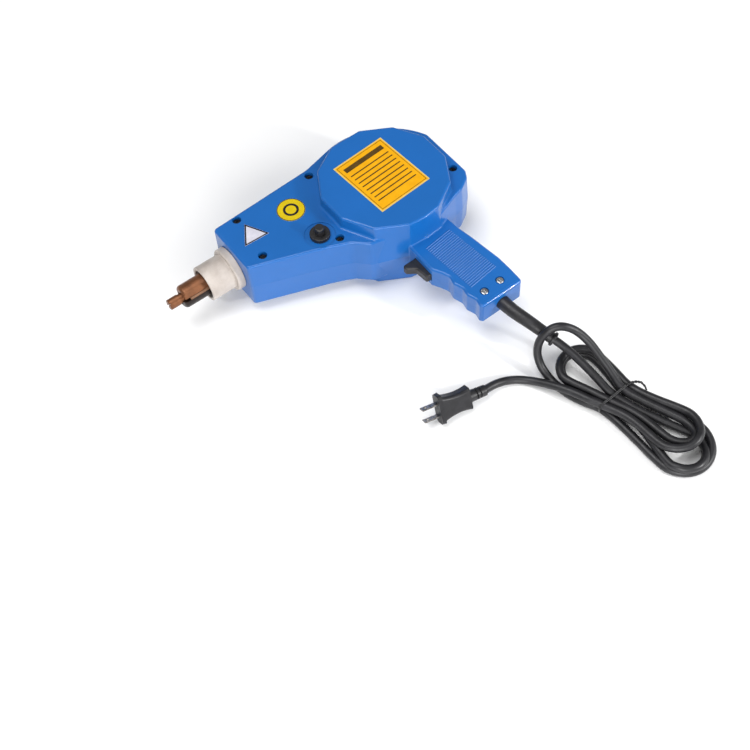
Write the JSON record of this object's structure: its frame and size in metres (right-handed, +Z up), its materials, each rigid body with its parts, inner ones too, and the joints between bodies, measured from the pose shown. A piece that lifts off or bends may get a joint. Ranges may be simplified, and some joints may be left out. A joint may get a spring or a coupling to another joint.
{
  "type": "handheld spot welder gun",
  "caption": "Pistol-shaped blue spot welder gun with a twelve-sided transformer drum, copper jaws in a cream collar, finger trigger, reset button and mains cord in a tied hank.",
  "frame": {"origin": "centre of the flat drum face that the gun rests on when it lies on its side", "axes": "+Z up out of the floor, -X along the barrel out of the nose, -Y down the handle"},
  "size_m": [0.3347, 0.4935, 0.0893],
  "materials": {
    "case_plastic": "glossy moulded blue",
    "black_plastic": "satin black",
    "cord_rubber": "soft black sheath",
    "cream_ceramic": "cream, slightly rough",
    "copper_bright": "worn copper",
    "copper_dark": "heat-darkened copper",
    "copper_clean": "clean copper bar",
    "label_yellow": "printed orange-yellow film",
    "label_round": "printed yellow film",
    "label_white": "printed white film",
    "steel": "zinc-plated",
    "black_steel": "black oxide",
    "lamination": "stacked laminations",
    "bobbin_plastic": "natural nylon",
    "winding": "enamelled wire under tape",
    "insulator": "fibre board",
    "pad_rubber": "moulded rubber",
    "wire_insulation": "coloured insulation",
    "blade_metal": "nickel-plated brass"
  },
  "bodies": {
    "case": {"case_top": "case_plastic", "case_bottom": "case_plastic", "case_screws": "black_steel", "handle_screws": "steel", "rating_label": "label_yellow", "round_label": "label_round", "triangle_label": "label_white", "nose_collar": "cream_ceramic", "upper_jaw": "copper_bright", "lower_jaw": "copper_dark", "centre_electrode": "copper_bright", "jaw_insulator": "insulator", "busbar_upper": "copper_clean", "busbar_lower": "copper_clean", "busbar_bolts": "steel", "transformer_core": "lamination", "core_clamps": "steel", "core_bolts": "steel", "core_pads": "pad_rubber", "coil_bobbin": "bobbin_plastic", "primary_winding": "winding", "secondary_strap": "copper_clean", "breaker_body": "black_plastic", "breaker_nut": "black_plastic", "button_spring": "steel", "switch_body": "black_plastic", "switch_terminals": "blade_metal", "strain_relief_boot": "cord_rubber", "cord_inside": "cord_rubber", "cord_clamp": "black_plastic", "clamp_screws": "steel", "cord_cores": "wire_insulation", "primary_leads": "wire_insulation", "cord_hank": "cord_rubber", "cord_lead": "cord_rubber", "cord_tail": "cord_rubber", "cord_tie": "black_plastic", "plug_body": "cord_rubber", "plug_blades": "blade_metal"},
    "trigger": {"trigger": "black_plastic", "switch_plunger": "bobbin_plastic"},
    "button": {"reset_button": "black_plastic"}
  },
  "joints": [
    {"name": "trigger_slide", "type": "slide", "parent": "case", "child": "trigger", "axis": [1, 0, 0], "range_m": [0, 0.006], "stiffness_N_per_m": 900, "springref_m": -0.003},
    {"name": "button_slide", "type": "slide", "parent": "case", "child": "button", "axis": [0, 0, -1], "range_m": [0, 0.003], "stiffness_N_per_m": 1200, "springref_m": -0.002, "deforming": ["button_spring"]}
  ]
}
